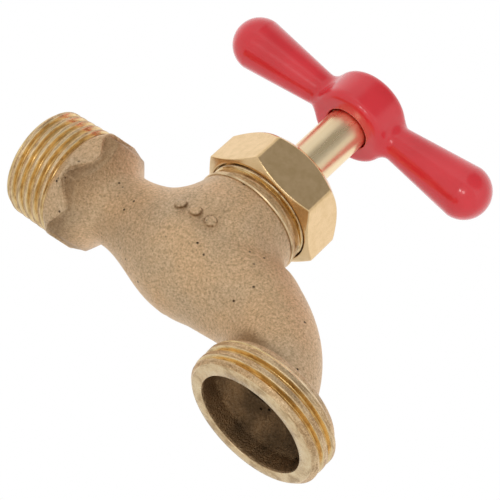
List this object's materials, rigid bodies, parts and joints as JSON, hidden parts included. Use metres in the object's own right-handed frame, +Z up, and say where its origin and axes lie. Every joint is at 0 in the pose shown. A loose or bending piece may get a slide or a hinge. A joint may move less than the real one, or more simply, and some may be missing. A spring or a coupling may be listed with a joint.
{
  "type": "hose bib",
  "caption": "Cast brass hose bib with a male pipe inlet, wrench collar, hexagonal packing nut, rising stem, red tee handle and a down-turned male hose outlet.",
  "frame": {"origin": "centre of the inlet end face, on the inlet axis", "axes": "+X runs along the inlet axis into the body, away from the pipe; +Z runs up along the stem; Y = 0 is the plane of symmetry"},
  "size_m": [0.0794, 0.0268, 0.0727],
  "materials": {
    "cast_brass": "rough cast, tumbled",
    "nut_brass": "polished flats",
    "turned_brass": "turned bright",
    "graphite_packing": "compressed graphite yarn",
    "washer_rubber": "moulded",
    "red_coating": "gloss coating"
  },
  "bodies": {
    "faucet_body": {"valve_body": "cast_brass", "packing_nut": "nut_brass", "gland_washer": "turned_brass", "packing_ring": "graphite_packing", "packing_seat_washer": "turned_brass"},
    "seat_disc": {"seat_washer": "washer_rubber"},
    "stem_and_handle": {"stem": "turned_brass", "washer_screw": "turned_brass", "tee_handle": "red_coating", "handle_screw": "turned_brass"}
  },
  "joints": [
    {"name": "stem_lift", "type": "slide", "parent": "faucet_body", "child": "seat_disc", "axis": [0, 0, 1], "range_m": [0, 0.005]},
    {"name": "handle_turn", "type": "hinge", "parent": "seat_disc", "child": "stem_and_handle", "pos_m": [0.038, 0, 0.0454], "axis": [0, 0, 1], "range_deg": [0, 900]}
  ],
  "couplings": [
    {"joint": "stem_lift", "follows": "handle_turn", "m_per_rad": 0.00031831}
  ]
}
